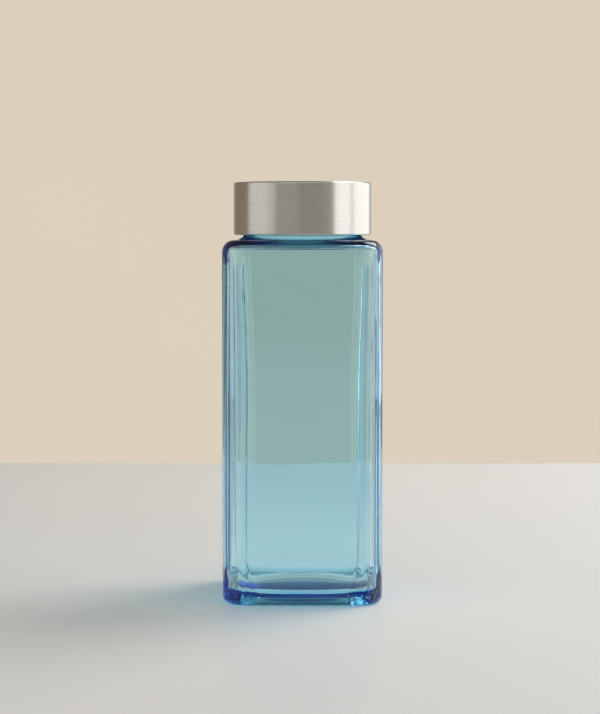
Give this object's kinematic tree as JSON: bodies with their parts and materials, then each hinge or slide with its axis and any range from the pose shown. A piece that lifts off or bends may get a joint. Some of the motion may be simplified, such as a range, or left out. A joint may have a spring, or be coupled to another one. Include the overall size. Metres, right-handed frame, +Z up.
{
  "type": "square glass storage bottle",
  "caption": "Tall square clear-glass storage bottle with rounded edges, a wide mouth and a brushed steel screw lid with a threaded insert and seal.",
  "frame": {"origin": "centre of the square base, on the surface that the bottle stands on", "axes": "+Z up the bottle's axis; +X and +Y square to two flat sides, with -Y the side that is seen first"},
  "size_m": [0.08, 0.08, 0.2107],
  "materials": {
    "glass": "clear soda-lime glass with a faint blue-green tint, deep blue where it is seen edge on",
    "steel": "stainless steel brushed round the wall and in circles on the top",
    "insert": "satin moulded polypropylene, natural white",
    "seal": "soft translucent white silicone"
  },
  "bodies": {
    "bottle": {"glass_bottle": "glass"},
    "seal": {"seal_ring": "seal"},
    "lid": {"lid_shell": "steel", "lid_insert": "insert"}
  },
  "joints": [
    {"name": "lid_rise", "type": "slide", "parent": "bottle", "child": "seal", "axis": [0, 0, 1], "range_m": [0, 0.0271]},
    {"name": "lid_turn", "type": "hinge", "parent": "seal", "child": "lid", "pos_m": [0, 0, 0.2], "axis": [0, 0, 1], "range_deg": [0, 720]}
  ],
  "couplings": [
    {"joint": "lid_rise", "follows": "lid_turn", "m_per_rad": 0.0021486}
  ]
}
